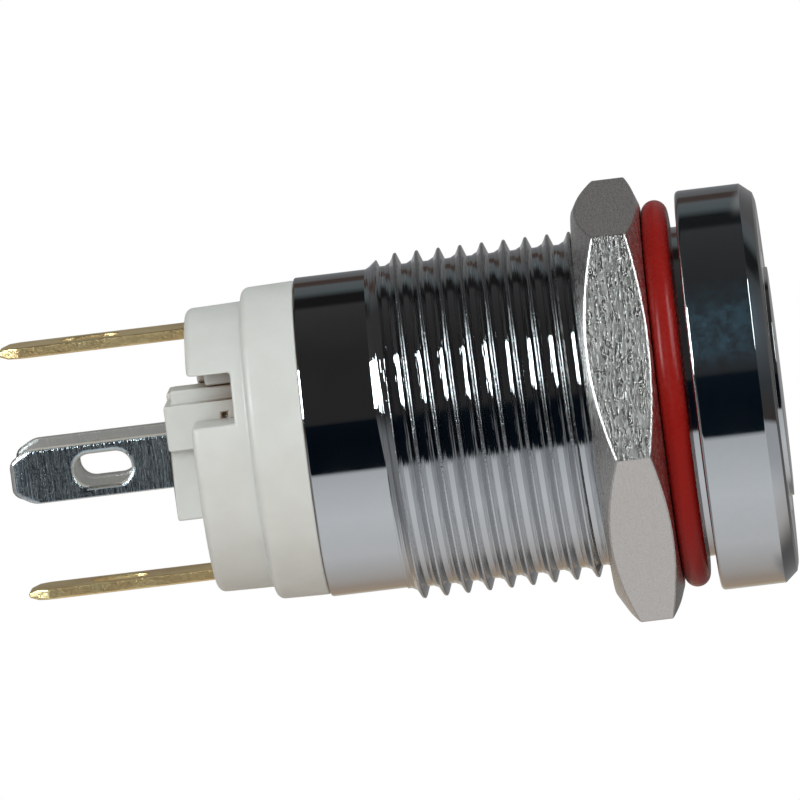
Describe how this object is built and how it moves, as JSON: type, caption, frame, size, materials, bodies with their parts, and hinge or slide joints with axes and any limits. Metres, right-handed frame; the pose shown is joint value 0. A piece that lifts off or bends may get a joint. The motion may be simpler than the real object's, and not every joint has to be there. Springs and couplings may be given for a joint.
{
  "type": "anti-vandal push button",
  "caption": "Round metal panel push button with a threaded barrel, hex nut, red gasket, sprung lit cap and flat solder tabs behind a white base.",
  "frame": {"origin": "on the button's axis, in the plane of the head's underside, where the panel's front would be", "axes": "+Z along the axis out of the panel towards the cap, +X towards one gold contact tab, +Y towards one silver lamp tab"},
  "size_m": [0.0196, 0.0208, 0.0353],
  "materials": {
    "chrome": "mirror polished plating",
    "nickel": "satin nickel plating",
    "red_silicone": "satin moulded silicone",
    "white_nylon": "moulded, slightly translucent",
    "gold_plate": "gold plated sheet",
    "tin_plate": "tin plated sheet with a fine grain",
    "opal_guide": "translucent opal",
    "black_rubber": "satin moulded rubber",
    "spring_steel": "drawn wire",
    "bridge_brass": "stamped sheet",
    "contact_silver": "polished silver alloy",
    "lead_wire": "tinned wire",
    "lamp_epoxy": "clear moulded epoxy",
    "resistor_black": "coated ceramic"
  },
  "bodies": {
    "housing": {"barrel_housing": "chrome", "return_spring": "spring_steel", "chamber_cover": "white_nylon", "contact_terminal_a": "gold_plate", "contact_terminal_b": "gold_plate", "fixed_contact_a": "contact_silver", "fixed_contact_b": "contact_silver", "lamp_terminal_a": "tin_plate", "lamp_terminal_b": "tin_plate", "lamp": "lamp_epoxy", "lamp_lead_a": "lead_wire", "lamp_lead_b": "lead_wire", "lamp_resistor": "resistor_black", "base_housing": "white_nylon", "terminal_block": "white_nylon", "panel_gasket": "red_silicone"},
    "button": {"button_cap": "chrome", "light_guide": "opal_guide", "guide_seal": "black_rubber", "contact_spring": "spring_steel", "contact_bridge": "bridge_brass", "moving_contact_a": "contact_silver", "moving_contact_b": "contact_silver", "bridge_clip": "spring_steel"},
    "nut": {"hex_nut": "nickel"}
  },
  "joints": [
    {"name": "button_press", "type": "slide", "parent": "housing", "child": "button", "axis": [0, 0, -1], "range_m": [0, 0.0022], "stiffness_N_per_m": 900, "springref_m": -0.0017, "deforming": ["return_spring"]},
    {"name": "nut_travel", "type": "slide", "parent": "housing", "child": "nut", "axis": [0, 0, -1], "range_m": [0, 0.0088]}
  ]
}
